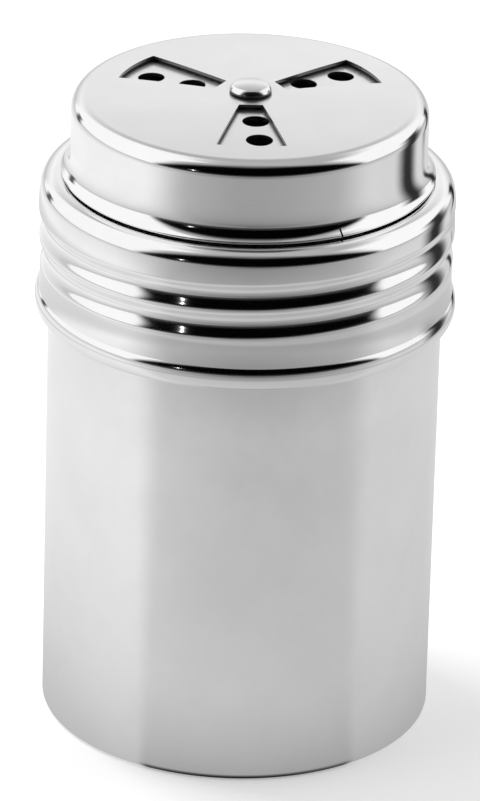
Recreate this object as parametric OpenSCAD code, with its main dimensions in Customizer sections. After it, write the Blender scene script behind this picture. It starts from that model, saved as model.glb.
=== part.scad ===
// Stainless spice shaker: a drawn can, a screw lid with a rolled thread, and a
// turning dial cap whose windows uncover the sprinkling holes of the lid.
// Millimetres. +Z is up, the origin is the centre of the foot, and the front is -Y.
// Every sheet part is one outline along its outside, given its thickness by sheet().

/* [Can] */
// Outside diameter of the can
can_d = 62; // [50:0.5:90]
// Height of the can from the table to the top of its rolled mouth
can_h = 88.6; // [70:0.1:140]
// Sheet thickness of the can
can_sheet = 0.45; // [0.3:0.05:0.6]
// Outside radius between the wall and the foot
foot_edge_r = 1.6; // [0.8:0.1:3]
// Width of the flat foot ring
foot_w = 4.2; // [2:0.1:8]
// Rise of the base panel above the table
base_rise = 0.9; // [0.3:0.1:2]
// Outside radius of the curl rolled inwards round the mouth
curl_r = 0.95; // [0.7:0.05:1.2]
// Angle through which the mouth is curled
curl_turn = 250; // [180:10:270]

/* [Thread] */
// Rise of the rolled thread in one turn
pitch = 4.8; // [4:0.1:6]
// Height of the can's thread ridge above its wall
ridge_h = 0.9; // [0.6:0.05:1.1]
// Depth of the groove rolled into the lid
groove_depth = 0.65; // [0.4:0.05:0.8]
// Width of the lid's groove
groove_w = 4.5; // [3.6:0.1:4.6]
// Width of the can's thread ridge
ridge_w = 4; // [3:0.1:4.2]
// Height of the lid's groove below the top of the shoulder, on the +X side
groove_drop = 10.05; // [9:0.05:11.5]
// Angle at which the lid's groove starts, from +X
groove_start = -215; // [-260:5:-180]
// Angle at which the lid's groove ends
groove_end = 370; // [300:5:400]
// Angle at which the can's ridge starts
ridge_start = -330; // [-400:5:-280]
// Angle at which the can's ridge ends
ridge_end = 140; // [60:5:160]
// Angle over which each thread fades in and out
fade = 40; // [20:5:60]

/* [Lid] */
// Sheet thickness of the lid
lid_sheet = 0.45; // [0.3:0.05:0.6]
// Depth of the collar from the top of the shoulder to its lower edge
collar_h = 22.45; // [20:0.05:26]
// How far the collar is drawn in below its thread
wall_draw = 0.2; // [0:0.05:0.25]
// Outside radius of the shoulder
shoulder_r = 2.6; // [1.8:0.1:3.2]
// How far the neck stands in from the outside of the collar
neck_inset = 5.7; // [5.2:0.1:6.5]
// Height of the perforated plate's rim above the top of the shoulder
neck_h = 12.55; // [10:0.05:18]
// Outside radius between the neck and the shoulder
neck_fillet_r = 0.9; // [0.5:0.1:1.2]
// Outside radius between the neck and the perforated plate
plate_edge_r = 2.2; // [1.2:0.1:3]
// Height of the rolled bead at the lower edge of the collar
bead_h = 3.9; // [3:0.1:5]
// How far the bead stands out from the collar wall above it
bead_out = 0.65; // [0.3:0.05:0.9]
// How far the middle of the bead's oval section stands in from that wall
bead_in = 0.15; // [0.1:0.05:0.3]

/* [Sprinkling holes] */
// Diameter of the large holes
large_hole_d = 4.2; // [3:0.1:4.6]
// Distance of the inner large holes from the axis
large_in_r = 10.15; // [9.5:0.05:11]
// Distance of the outer large holes from the axis
large_out_r = 17.45; // [16.5:0.05:18]
// Diameter of the small holes
small_hole_d = 1.8; // [1:0.1:2.4]
// Direction of the first pair of large holes, from +X
hole_turn = -84.8; // [-88:0.1:-82]
// Distance between neighbouring small holes in a row
small_pitch = 3.2; // [2.6:0.1:3.4]
// Turn of the dial from the large holes to the small ones
small_turn = 40; // [38:1:42]

/* [Dial cap] */
// Sheet thickness of the dial cap
cap_sheet = 0.5; // [0.3:0.05:0.7]
// Rise of the domed top from its rim to its middle
crown = 0.6; // [0.2:0.05:1.2]
// Outside radius between the top and the skirt
cap_edge_r = 2.55; // [1.8:0.05:3.2]
// Height of the flared part of the skirt
flare_h = 4.4; // [3:0.1:6]
// How far the lip stands out from the skirt
flare_out = 1.4; // [0.8:0.05:1.8]
// Distance from the axis to the narrow end of a window
window_in_r = 5.65; // [5.2:0.05:6.5]
// Distance from the axis to the wide end of a window
window_out_r = 21.1; // [20:0.1:22.5]
// Width of a window at its narrow end
window_in_w = 3.9; // [3:0.1:4.5]
// Width of a window at its wide end
window_out_w = 10.9; // [9:0.1:12]
// Direction of the first window, from +X
window_turn = -88.3; // [-92:0.1:-86]
// Width of the slit in the lip
slit_w = 0.3; // [0.2:0.05:0.6]
// Height of the slit in the lip
slit_h = 1.5; // [0.8:0.1:2.5]
// Direction of the slit, from +X
slit_turn = -60; // [-180:5:180]

/* [Rivet and washers] */
// Diameter of the flat middle of both plates, under the head and the washers
land_d = 9.6; // [9.2:0.1:10.6]
// Diameter of the rivet's shank
shank_d = 3.2; // [2.4:0.1:4]
// Diameter of the rivet's domed head
head_d = 6.4; // [5.4:0.1:8]
// Height of the rivet's domed head
head_h = 1.5; // [1:0.05:2.2]
// Diameter of the rivet's spread tail
tail_d = 5; // [4.4:0.1:6]
// Height of the rivet's spread tail
tail_h = 0.9; // [0.6:0.05:1.4]
// Outside diameter of the spacer washer between the two plates
spacer_d = 8; // [6:0.1:9]
// Outside diameter of the backing washer under the lid
backing_d = 8.4; // [6:0.1:9]
// Thickness of the backing washer
backing_t = 0.6; // [0.4:0.05:1]

/* [Seal] */
// Thickness of the seal ring between the mouth of the can and the shoulder
seal_t = 1.7; // [1:0.05:2.5]
// Width of the seal ring at its foot
seal_w = 2.8; // [2:0.1:3]

/* [Clearances] */
// Radial gap between the can's ridge and the lid's plain wall
thread_gap = 0.35; // [0.3:0.05:0.6]
// How far the can's ridge sits below the middle of its space in the lid
thread_set = 0.3; // [0:0.05:0.4]
// Radial gap between the neck of the lid and the dial cap
skirt_gap = 0.3; // [0.15:0.05:0.6]
// Height of the gap between the perforated plate and the dial cap
plate_gap = 0.3; // [0.2:0.05:0.6]
// Height of the outer edge of the dial cap's lip above the shoulder
lip_gap = 0.95; // [0.8:0.05:1.5]
// Radial running clearance between the shank and the dial cap
shank_gap = 0.05; // [0.02:0.01:0.1]
// Running clearance of the dial cap under the head and over the spacer washer
face_gap = 0.03; // [0.01:0.01:0.05]
// Gap between the seal ring's upper edge and the inner curve of the shoulder
seal_gap = 0.1; // [0.05:0.05:0.3]

/* [Hidden] */
$fn = 96;
arc_steps = 8;              // chords in a quarter turn of a rounded outline
thread_steps = 60;          // rings in one turn of a thread
section_steps = 6;          // chords across a thread's section
section_power = 1.3;        // 1 gives a thread a round section, and more gives it hollow flanks
groups = 3;                 // windows, and groups of holes, round the axis
cut = 1;                    // how far a cutter runs past the face it cuts
root = 0.1;                 // how far a thread's foot is buried in its wall
steel = [0.80, 0.81, 0.82];
rubber = [0.90, 0.90, 0.88];

can_r = can_d / 2;
collar_in_r = can_r + ridge_h + thread_gap;
collar_r = collar_in_r + lid_sheet;
wall_r = collar_r - wall_draw;
seal_z = can_h;
shoulder_z = seal_z + seal_t + lid_sheet;
collar_z = shoulder_z - collar_h;
groove_z = shoulder_z - groove_drop;
neck_r = collar_r - neck_inset;
plate_z = shoulder_z + neck_h;
cap_in_r = neck_r + skirt_gap;
cap_r = cap_in_r + cap_sheet;
cap_z = plate_z + plate_gap + cap_sheet;
lip_z = shoulder_z + lip_gap;
land_r = land_d / 2;
flare_power = 5;            // how late the skirt's flare turns outwards
seal_slope = 0.6;           // run of the seal's sloped edge for its thickness
shank_r = shank_d / 2;
// Small holes of one group: distance from the axis, and angle from the middle of the group
small_holes = [
    for (row = [[large_in_r, 1], [(large_in_r + large_out_r) / 2, 2], [large_out_r, 3]])
        for (i = [0 : row[1] - 1])
            [row[0], (i - (row[1] - 1) / 2) * asin(small_pitch / row[0])]
];

// ---- outlines -------------------------------------------------------------

function unit(v) = v / norm(v);

// Points on a quarter (or other) arc about c, from angle a0 to angle a1
function arc(c, r, a0, a1) =
    let (n = max(2, ceil(arc_steps * abs(a1 - a0) / 90)))
    [for (i = [0 : n]) c + r * [cos(a0 + (a1 - a0) * i / n), sin(a0 + (a1 - a0) * i / n)]];

// Points of a domed plate from r0: flat over the land, then falling to height z at rim_r,
// where the outline goes on with its edge radius
function dome(r0, rim_r, z) =
    concat([[r0, z + crown]], [for (i = [0 : arc_steps - 1])
        [land_r + (rim_r - land_r) * i / arc_steps, z + crown * (1 - pow(i / arc_steps, 2))]]);

// The outline moved sideways by t: to its left when t is positive
function moved(p, t) = [for (i = [0 : len(p) - 1])
    let (
        a = unit(p[max(i, 1)] - p[max(i, 1) - 1]),
        b = unit(p[min(i, len(p) - 2) + 1] - p[min(i, len(p) - 2)]),
        m = unit(a + b)
    )
    p[i] + t / (a * m) * [-m[1], m[0]]];

function reversed(p) = [for (i = [len(p) - 1 : -1 : 0]) p[i]];

// A turned sheet: its outer outline, and the thickness to the left (+) or right (-) of it
module sheet(outline, t) {
    rotate_extrude() polygon(concat(outline, reversed(moved(outline, t))));
}

// ---- rolled threads --------------------------------------------------------

// How much of a thread's full height stands at angle a: it fades at both ends
function swell(a, a0, a1) =
    let (u = min(1, (a - a0) / fade, (a1 - a) / fade))
    (1 - cos(180 * max(0, u))) / 2;

// One section of a rolled thread, of width w: from its foot at radius r0 to its crest at
// r1, closed by a straight back that lies one root behind the foot
function section(r0, r1, w, back) = concat(
    [[back, w / 2], [back, -w / 2]],
    [for (i = [0 : section_steps])
        let (u = 2 * i / section_steps - 1)
        [r0 + (r1 - r0) * pow(cos(90 * u), section_power), w / 2 * u]]);

// A rolled thread as a closed helical body. z is its height at angle 0, a0 and a1 its ends.
// It stands h off a wall of radius wall: outwards (side 1) or inwards (side -1). Its foot is
// a root below that wall, so where it has faded out all of it is sunk there.
module helix(z, a0, a1, wall, h, w, side) {
    rings = ceil((a1 - a0) / 360 * thread_steps);
    size = section_steps + 3;
    foot = wall - side * root;
    points = [for (i = [0 : rings])
        let (
            a = a0 + (a1 - a0) * i / rings,
            crest = foot + side * (h + root) * swell(a, a0, a1)
        )
        for (q = section(foot, crest, w, foot - side * root))
        [q[0] * cos(a), q[0] * sin(a), z + pitch * a / 360 + q[1]]];
    sides = [for (i = [0 : rings - 1], j = [0 : size - 1])
        let (k = (j + 1) % size, a = i * size, b = a + size)
        each [[a + j, b + k, a + k], [a + j, b + j, b + k]]];
    ends = [
        [for (j = [0 : size - 1]) j],
        [for (j = [size - 1 : -1 : 0]) rings * size + j]
    ];
    faces = concat(sides, ends);
    polyhedron(points, side < 0 ? faces : [for (f = faces) reversed(f)]);
}

// ---- parts ------------------------------------------------------------------

can_outline = concat(
    [[0, base_rise], [can_r - foot_edge_r - foot_w - 2 * base_rise, base_rise]],
    [[can_r - foot_edge_r - foot_w, 0]],
    arc([can_r - foot_edge_r, foot_edge_r], foot_edge_r, -90, 0),
    arc([can_r - curl_r, can_h - curl_r], curl_r, 0, curl_turn));

ridge_z = groove_z + pitch / 2 - thread_set;

// A helix that follows the can's rolled ridge, on its outside or its inside wall
module ridge(wall) {
    helix(ridge_z, ridge_start, ridge_end, wall, ridge_h, ridge_w, 1);
}

module can() {
    color(steel) difference() {
        union() {
            sheet(can_outline, can_sheet);
            ridge(can_r);
        }
        ridge(can_r - can_sheet);
    }
}

// Ring of rubber that the shoulder presses on the can's mouth, its upper outer edge sloped
// to clear the inside of the shoulder's curve
module seal_ring() {
    flat_r = collar_r - shoulder_r - seal_gap;
    out_r = flat_r + seal_t * seal_slope;
    in_r = out_r - seal_w;
    color(rubber) rotate_extrude() polygon([
        [in_r, seal_z], [out_r, seal_z], [out_r, seal_z + seal_t / 2],
        [flat_r, seal_z + seal_t], [in_r, seal_z + seal_t]
    ]);
}

// Rolled bead: the outer half of an upright oval, from just under its top to its lowest point
bead_c = [wall_r - bead_in, collar_z + bead_h / 2];
bead = [for (i = [1 : 2 * arc_steps])
    let (a = 90 - 90 * i / arc_steps)
    bead_c + [(bead_in + bead_out) * cos(a), bead_h / 2 * sin(a)]];

// From the rivet hole out over the plate, down the neck, over the shoulder and down the
// collar to its rolled bead
lid_outline = concat(
    dome(shank_r, neck_r - plate_edge_r, plate_z),
    arc([neck_r - plate_edge_r, plate_z - plate_edge_r], plate_edge_r, 90, 0),
    arc([neck_r + neck_fillet_r, shoulder_z + neck_fillet_r], neck_fillet_r, 180, 270),
    arc([collar_r - shoulder_r, shoulder_z - shoulder_r], shoulder_r, 90, 0),
    [[collar_r, groove_z - 0.75 * pitch], [wall_r, groove_z - pitch]],
    bead);

// A helix that follows the lid's rolled groove, on its outside or its inside wall
module groove(wall) {
    helix(groove_z, groove_start, groove_end, wall, groove_depth, groove_w, -1);
}

// The holes that show through the windows at one setting of the dial
module sprinkling_holes() {
    hole_z = plate_z - lid_sheet - cut;
    hole_h = crown + lid_sheet + 2 * cut;
    for (i = [0 : groups - 1]) rotate(hole_turn + i * 360 / groups) {
        for (r = [large_in_r, large_out_r])
            translate([r, 0, hole_z]) cylinder(d = large_hole_d, h = hole_h);
        for (p = small_holes)
            rotate(small_turn + p[1]) translate([p[0], 0, hole_z]) cylinder(d = small_hole_d, h = hole_h);
    }
}

module lid_shell() {
    color(steel) difference() {
        union() {
            sheet(lid_outline, -lid_sheet);
            groove(collar_in_r);
        }
        groove(collar_r);
        sprinkling_holes();
    }
}

// From the shank's hole out over the domed top, down the skirt and out to the flared lip
cap_outline = concat(
    dome(shank_r + shank_gap, cap_r - cap_edge_r, cap_z),
    arc([cap_r - cap_edge_r, cap_z - cap_edge_r], cap_edge_r, 90, 0),
    [for (i = [0 : arc_steps])
        let (u = i / arc_steps)
        [cap_r + flare_out * pow(u, flare_power), lip_z + flare_h * (1 - u)]]);

// A window, as a tapered opening that points along +X
module window() {
    translate([0, 0, plate_z]) linear_extrude(crown + cap_sheet + plate_gap + cut) polygon([
        [window_in_r, -window_in_w / 2], [window_out_r, -window_out_w / 2],
        [window_out_r, window_out_w / 2], [window_in_r, window_in_w / 2]
    ]);
}

module dial_cap() {
    color(steel) difference() {
        sheet(cap_outline, -cap_sheet);
        for (i = [0 : groups - 1]) rotate(window_turn + i * 360 / groups) window();
        rotate(slit_turn) translate([cap_r - cap_sheet, -slit_w / 2, lip_z - cut])
            cube([flare_out + 2 * cap_sheet + cut, slit_w, slit_h + cut]);
    }
}

// Flat ring round the shank
module washer(d, z, t) {
    translate([0, 0, z]) difference() {
        cylinder(d = d, h = t);
        translate([0, 0, -cut]) cylinder(r = shank_r, h = t + 2 * cut);
    }
}

plate_top_z = plate_z + crown;          // the flat middle of the perforated plate
plate_low_z = plate_top_z - lid_sheet;
cap_top_z = cap_z + crown;              // the flat middle of the dial cap

module spacer_washer() {
    color(steel) washer(spacer_d, plate_top_z, plate_gap - face_gap);
}

module backing_washer() {
    color(steel) washer(backing_d, plate_low_z - backing_t, backing_t);
}

// Domed head, shank, and a tail spread under the backing washer
module pivot_rivet() {
    head_z = cap_top_z + face_gap;
    tail_z = plate_low_z - backing_t;
    head = [for (i = [0 : arc_steps]) let (a = 90 * i / arc_steps)
        [head_d / 2 * sin(a), head_z + head_h * cos(a)]];
    tail = [[tail_d / 2, tail_z], [tail_d / 2, tail_z - tail_h / 2], [shank_r, tail_z - tail_h]];
    color(steel) rotate_extrude() polygon(concat(
        head, [[shank_r, head_z], [shank_r, tail_z]], tail, [[0, tail_z - tail_h]]));
}

can();
seal_ring();
lid_shell();
dial_cap();
spacer_washer();
backing_washer();
pivot_rivet();
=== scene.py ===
"""Spice shaker: the pieces that show, their steel, and a white studio round them.

Sizes are in millimetres in the classes below, and in metres in the meshes. Z is up, the
origin is the centre of the foot, and the front is -Y.
"""

import logging
import math
from collections.abc import Iterator, Sequence
from contextlib import contextmanager
from dataclasses import dataclass
from enum import Enum

import bpy
from mathutils import Matrix, Vector


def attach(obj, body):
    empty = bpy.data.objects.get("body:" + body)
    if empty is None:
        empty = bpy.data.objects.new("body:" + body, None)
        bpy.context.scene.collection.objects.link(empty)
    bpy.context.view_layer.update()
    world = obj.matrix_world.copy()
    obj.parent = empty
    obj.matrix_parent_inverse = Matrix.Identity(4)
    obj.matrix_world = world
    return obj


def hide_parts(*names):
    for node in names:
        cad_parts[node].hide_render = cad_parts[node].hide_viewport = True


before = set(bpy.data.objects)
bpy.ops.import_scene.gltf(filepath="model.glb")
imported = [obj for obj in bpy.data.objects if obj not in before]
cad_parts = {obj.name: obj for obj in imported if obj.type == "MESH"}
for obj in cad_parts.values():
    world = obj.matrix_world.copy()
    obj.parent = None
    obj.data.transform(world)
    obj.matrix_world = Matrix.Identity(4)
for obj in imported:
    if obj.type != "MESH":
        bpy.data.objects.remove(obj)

Piece = bpy.types.Object
Node = bpy.types.Node
Socket = bpy.types.NodeSocket
Tree = bpy.types.NodeTree
Point = tuple[float, float]   # distance from the axis and height
Pair = tuple[float, float]
Place = tuple[float, float, float]
Shades = tuple[tuple[float, str], ...]    # place from 0 to 1 and hex colour of each shade
MM = 0.001                    # metres in a millimetre
TURN_STEPS = 240              # faces round a turned piece
SMALL_TURN_STEPS = 96         # faces round the rivet and the washers
BEND_RINGS = 14               # rings along a slight bend of a wall
OVER = 1.0                    # how far a cutter reaches past what it cuts, in millimetres
ORIGIN = (0.0, 0.0)
MIX_A, MIX_B, MIX_OUT = 6, 7, 2   # colour inputs and output of a Mix node
LOG = logging.getLogger("shaker")


# ---- outlines ---------------------------------------------------------------


def off(centre: Point, distance: float, angle: float) -> Point:
    """The point at a distance from a centre, in a direction given in degrees.

    Args:
        centre: where the distance is measured from.
        distance: the distance.
        angle: the direction, turned from that of the first coordinate to that of the second.

    Returns:
        The point.
    """
    a = math.radians(angle)
    return centre[0] + distance * math.cos(a), centre[1] + distance * math.sin(a)


def arc(centre: Point, radius: float, start: float, end: float, step: float = 6.0) -> list[Point]:
    """Points on an arc, both ends among them.

    Args:
        centre: centre of the arc.
        radius: its radius.
        start: angle of its first point in degrees, from the direction away from the axis.
        end: angle of its last point in degrees.
        step: largest angle between neighbouring points in degrees.

    Returns:
        The points in order.
    """
    count = max(2, math.ceil(abs(end - start) / step))
    return [off(centre, radius, start + (end - start) * i / count) for i in range(count + 1)]


def line(start: Point, end: Point, step: float) -> list[Point]:
    """Points evenly along a straight line, without its start.

    Args:
        start: where the line starts.
        end: where it ends, which is the last point given.
        step: largest distance between neighbouring points.

    Returns:
        The points in order.
    """
    count = max(1, math.ceil(math.dist(start, end) / step))
    return [
        (start[0] + (end[0] - start[0]) * i / count, start[1] + (end[1] - start[1]) * i / count)
        for i in range(1, count + 1)
    ]


def shares(count: int) -> list[float]:
    """Gives even shares up to 1, without 0.

    Args:
        count: how many shares to give.

    Returns:
        The shares in order.
    """
    return [i / count for i in range(1, count + 1)]


def dome(rim_r: float, land_r: float, height: float, crown: float, rings: int) -> list[Point]:
    """Points of a shallow dome from its flat middle to its rim, without the rim itself.

    Args:
        rim_r: radius of the rim.
        land_r: radius of the flat middle.
        height: height of the rim.
        crown: rise of the middle above the rim.
        rings: how many points to give.

    Returns:
        The points in order.
    """
    steps = [0.0] + shares(rings)[:-1]
    return [(land_r + (rim_r - land_r) * u, height + crown * (1 - u * u)) for u in steps]


# ---- modelling --------------------------------------------------------------


@contextmanager
def edit_mode() -> Iterator[None]:
    """Holds the active object in edit mode for as long as a with block runs."""
    bpy.ops.object.mode_set(mode="EDIT")
    yield
    bpy.ops.object.mode_set(mode="OBJECT")


def only(piece: Piece) -> None:
    """Selects one object alone and makes it the active one.

    Args:
        piece: the object to select.
    """
    bpy.ops.object.select_all(action="DESELECT")
    piece.select_set(True)
    bpy.context.view_layer.objects.active = piece


def turned(name: str, outline: Sequence[Point], steps: int = TURN_STEPS, coats: int = 1) -> Piece:
    """Models a turned surface: a plate shrunk to a point is extruded along half a section and spun.

    Args:
        name: name of the new object.
        outline: distance from the axis and height of each point of the half section.
        steps: faces round the axis.
        coats: how many finishes the piece will have, each with an empty slot for now.

    Returns:
        The new object, at the origin, with its faces turned outwards.
    """
    piece = plate(name, (1.0, 1.0))
    piece.data.name = name
    last_r, last_z = outline[0]
    with edit_mode():
        bpy.ops.mesh.merge(type="CENTER")
        bpy.ops.transform.translate(value=(last_r * MM, 0, last_z * MM))
        for r, z in outline[1:]:
            shift = ((r - last_r) * MM, 0, (z - last_z) * MM)
            bpy.ops.mesh.extrude_vertices_move(TRANSFORM_OT_translate={"value": shift})
            last_r, last_z = r, z
        bpy.ops.mesh.select_all(action="SELECT")
        bpy.ops.mesh.spin(steps=steps, angle=math.tau, center=(0, 0, 0), axis=(0, 0, 1))
        bpy.ops.mesh.select_all(action="SELECT")
        bpy.ops.mesh.remove_doubles(threshold=MM / 1000)
        bpy.ops.mesh.normals_make_consistent(inside=False)
    for _ in range(coats):
        piece.data.materials.append(None)
    return piece


def apply_modifier(piece: Piece, kind: str, **settings: object) -> None:
    """Adds a modifier with its settings and applies it.

    Args:
        piece: the object to change.
        kind: Blender's name for the kind of modifier.
        settings: the modifier's settings by name.
    """
    only(piece)
    modifier = piece.modifiers.new(kind.title(), kind)
    for setting, value in settings.items():
        setattr(modifier, setting, value)
    bpy.ops.object.modifier_apply(modifier=modifier.name)


def round_edges(piece: Piece, radius: float, segments: int, bend: float) -> None:
    """Rounds the edges of a piece.

    Args:
        piece: the object to change.
        radius: radius of the rounding in millimetres.
        segments: how many faces make the rounding.
        bend: edges bent by more than this, in degrees, are rounded.
    """
    apply_modifier(
        piece, "BEVEL", width=radius * MM, segments=segments, limit_method="ANGLE",
        angle_limit=math.radians(bend),
    )


def thicken(piece: Piece, sheet: float, edge_r: float = 0.0) -> None:
    """Gives a turned surface the thickness of its sheet, inwards.

    Args:
        piece: the turned surface. Its second finish, if it has one, goes on the inside.
        sheet: thickness of the sheet in millimetres.
        edge_r: radius on the sheet's cut edges, or 0 where they stay square.
    """
    apply_modifier(
        piece, "SOLIDIFY", thickness=sheet * MM, offset=-1.0, use_even_offset=True, material_offset=1
    )
    if edge_r:
        round_edges(piece, edge_r, segments=4, bend=60)


def smooth(piece: Piece, angle: float = 32) -> None:
    """Shades a piece smooth, led by its large faces, with sharp edges past an angle.

    Args:
        piece: the object to shade.
        angle: edges bent by more than this, in degrees, stay sharp.
    """
    only(piece)
    bpy.ops.object.shade_smooth_by_angle(angle=math.radians(angle))
    apply_modifier(piece, "WEIGHTED_NORMAL", mode="FACE_AREA", weight=50, keep_sharp=True)


def cut_away(piece: Piece, cutter: Piece, operation: str = "DIFFERENCE") -> None:
    """Cuts one object with another and deletes the cutter.

    Args:
        piece: the object to cut.
        cutter: the object that cuts it.
        operation: DIFFERENCE takes the cutter's space away, and INTERSECT keeps only that.
    """
    apply_modifier(piece, "BOOLEAN", object=cutter, operation=operation, solver="EXACT")
    bpy.data.objects.remove(cutter)


def joined(parts: list[Piece]) -> Piece:
    """Joins objects into the first of them.

    Args:
        parts: the objects to join.

    Returns:
        The first object, which now holds them all.
    """
    only(parts[0])
    for part in parts:
        part.select_set(True)
    bpy.ops.object.join()
    return parts[0]


def coat_walls(piece: Piece, coat: int, heights: Pair, reach: Pair, slope: float = 0.3) -> None:
    """Gives a finish of its own to walls that a tool left, here a darker one with painted shade.

    Args:
        piece: the piece.
        coat: number of the finish on the piece.
        heights: lowest and highest height of the walls in millimetres.
        reach: smallest and largest distance of the walls from the axis.
        slope: largest vertical share of a wall's normal.
    """
    for face in piece.data.polygons:
        x, y, z = (c / MM for c in face.center)
        inside = heights[0] < z < heights[1] and reach[0] < math.hypot(x, y) < reach[1]
        if inside and abs(face.normal.z) < slope:
            face.material_index = coat


def plate(name: str, size: Pair, place: Place = (0.0, 0.0, 0.0)) -> Piece:
    """Models a level rectangle without thickness.

    Args:
        name: name of the new object.
        size: its size along X and along Y in millimetres.
        place: its middle in millimetres.

    Returns:
        The new object.
    """
    bpy.ops.object.select_all(action="DESELECT")
    bpy.ops.mesh.primitive_plane_add(size=MM)
    sheet = bpy.context.object
    sheet.name = name
    with edit_mode():
        bpy.ops.transform.resize(value=(*size, 1), center_override=(0, 0, 0))
        bpy.ops.transform.translate(value=[c * MM for c in place])
    return sheet


def raised(outline: Piece, height: float, direction: float = 0.0) -> Piece:
    """Makes a cutter of a level outline: it is extruded up and turned round the axis.

    Args:
        outline: the outline, as one face.
        height: height of the cutter in millimetres.
        direction: how far it is turned, in degrees.

    Returns:
        The same object, now closed.
    """
    with edit_mode():
        bpy.ops.mesh.select_all(action="SELECT")
        bpy.ops.mesh.extrude_region_move(TRANSFORM_OT_translate={"value": (0, 0, height * MM)})
        bpy.ops.mesh.select_all(action="SELECT")
        bpy.ops.mesh.normals_make_consistent(inside=False)
    outline.data.transform(Matrix.Rotation(math.radians(direction), 4, "Z"))
    return outline


def punch(place: Pair, diameter: float, heights: Pair, sides: int = 48) -> Piece:
    """Models a round punch.

    Args:
        place: X and Y of its middle in millimetres.
        diameter: its diameter in millimetres.
        heights: heights of its lower and upper end in millimetres.
        sides: faces round it.

    Returns:
        The new object.
    """
    bottom, top = heights
    bpy.ops.object.select_all(action="DESELECT")
    bpy.ops.mesh.primitive_circle_add(vertices=sides, radius=diameter / 2 * MM, fill_type="NGON")
    disc = bpy.context.object
    with edit_mode():
        bpy.ops.transform.translate(value=[c * MM for c in (*place, bottom)])
    return raised(disc, top - bottom)


# ---- rolled threads ---------------------------------------------------------


@dataclass(frozen=True)
class RolledThread:
    """A thread rolled into sheet: a helix of smooth section that fades in and out.

    Angles are in degrees from +X, anticlockwise seen from above.
    """

    height: float             # of the middle of the thread at angle 0
    start: float              # angle at which it starts
    end: float                # angle at which it ends
    width: float
    depth: float              # outwards is positive
    pitch: float = 4.8
    fade: float = 40.0        # angle over which it fades in and out
    power: float = 1.3        # 1 gives a round section, and more gives it hollow flanks
    upper: float = 0.5        # share of its width that lies above its deepest line

    def share(self, x: float, y: float, z: float) -> float:
        """How much of the thread's depth stands at a point of the wall.

        Args:
            x: place of the point in millimetres.
            y: place of the point in millimetres.
            z: height of the point in millimetres.

        Returns:
            A share from 0, plain wall, to 1, the thread's crest.
        """
        angle = math.degrees(math.atan2(y, x))
        best = 0.0
        # The thread goes round more than once, so the place is tried on each of its turns.
        for turn in range(-2, 3):
            a = angle + 360 * turn
            if self.start < a < self.end:
                rise = z - self.height - self.pitch * a / 360
                across = rise / (self.width * (self.upper if rise > 0 else 1 - self.upper))
                if abs(across) < 1:
                    ease = min(1.0, (a - self.start) / self.fade, (self.end - a) / self.fade)
                    swell = (1 - math.cos(math.pi * ease)) / 2
                    best = max(best, swell * math.cos(math.pi / 2 * across) ** self.power)
        return best

    def roll(self, piece: Piece, wall_from: float, wall_to: float) -> None:
        """Rolls the thread into the wall of a turned piece.

        Args:
            piece: the turned piece, still a single surface.
            wall_from: lowest height of the wall that it may move, in millimetres.
            wall_to: highest height of that wall.
        """
        group = piece.vertex_groups.new(name="thread")
        for vertex in piece.data.vertices:
            x, y, z = (c / MM for c in vertex.co)
            if wall_from < z < wall_to:
                share = self.share(x, y, z)
                if share > 0:
                    group.add([vertex.index], share, "REPLACE")
        apply_modifier(
            piece, "DISPLACE", strength=self.depth * MM, mid_level=0.0, vertex_group=group.name
        )
        piece.vertex_groups.clear()


# ---- finishes ---------------------------------------------------------------


def linear(colour: str) -> tuple[float, float, float, float]:
    """Turns an sRGB hex colour into Blender's linear one, with full alpha.

    Args:
        colour: the colour as #RRGGBB.

    Returns:
        Red, green, blue and alpha.
    """
    values = [int(colour[i : i + 2], 16) / 255 for i in (1, 3, 5)]
    return (*(v / 12.92 if v <= 0.04045 else ((v + 0.055) / 1.055) ** 2.4 for v in values), 1.0)


def add_node(
    tree: Tree, kind: str, links: dict | None = None, stops: Shades = (), **settings: object
) -> Node:
    """Adds a node with its settings, input values and links.

    Args:
        tree: the node tree that it goes into.
        kind: Blender's name for the kind of node.
        links: what goes to each input, by name or number: an output socket, a node whose
            first output is meant, or a plain value.
        stops: the stops of a colour ramp, in order.
        settings: properties of the node by name.

    Returns:
        The new node.
    """
    node = tree.nodes.new(kind)
    for name, value in settings.items():
        setattr(node, name, value)
    for key, value in (links or {}).items():
        if isinstance(value, Node):
            value = value.outputs[0]
        if isinstance(value, Socket):
            tree.links.new(value, node.inputs[key])
        else:
            node.inputs[key].default_value = value
    for index, (place, colour) in enumerate(stops):
        elements = node.color_ramp.elements
        element = elements[index] if index < len(elements) else elements.new(1.0)
        element.position = place
        element.color = linear(colour)
    return node


def new_material(name: str) -> tuple[bpy.types.Material, Tree]:
    """Makes an empty node material.

    Args:
        name: its name.

    Returns:
        The material and its node tree.
    """
    material = bpy.data.materials.new(name)
    material.use_nodes = True
    material.node_tree.nodes.clear()
    return material, material.node_tree


def soft_mask(tree: Tree, edges: Sequence[tuple[Node | Socket, float, float]]) -> Node:
    """Multiplies soft edges into one mask.

    Args:
        tree: the node tree that it goes into.
        edges: for each edge the value that it goes by, the value at which the mask is 0,
            and the value at which it is 1.

    Returns:
        The node that gives the mask.
    """
    mask: Node | float = 1.0
    for value, none, full in edges:
        fade = add_node(
            tree, "ShaderNodeMapRange", {"Value": value, "From Min": none, "From Max": full},
            interpolation_type="SMOOTHSTEP",
        )
        mask = add_node(tree, "ShaderNodeMath", {0: fade, 1: mask}, operation="MULTIPLY")
    return mask


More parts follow.
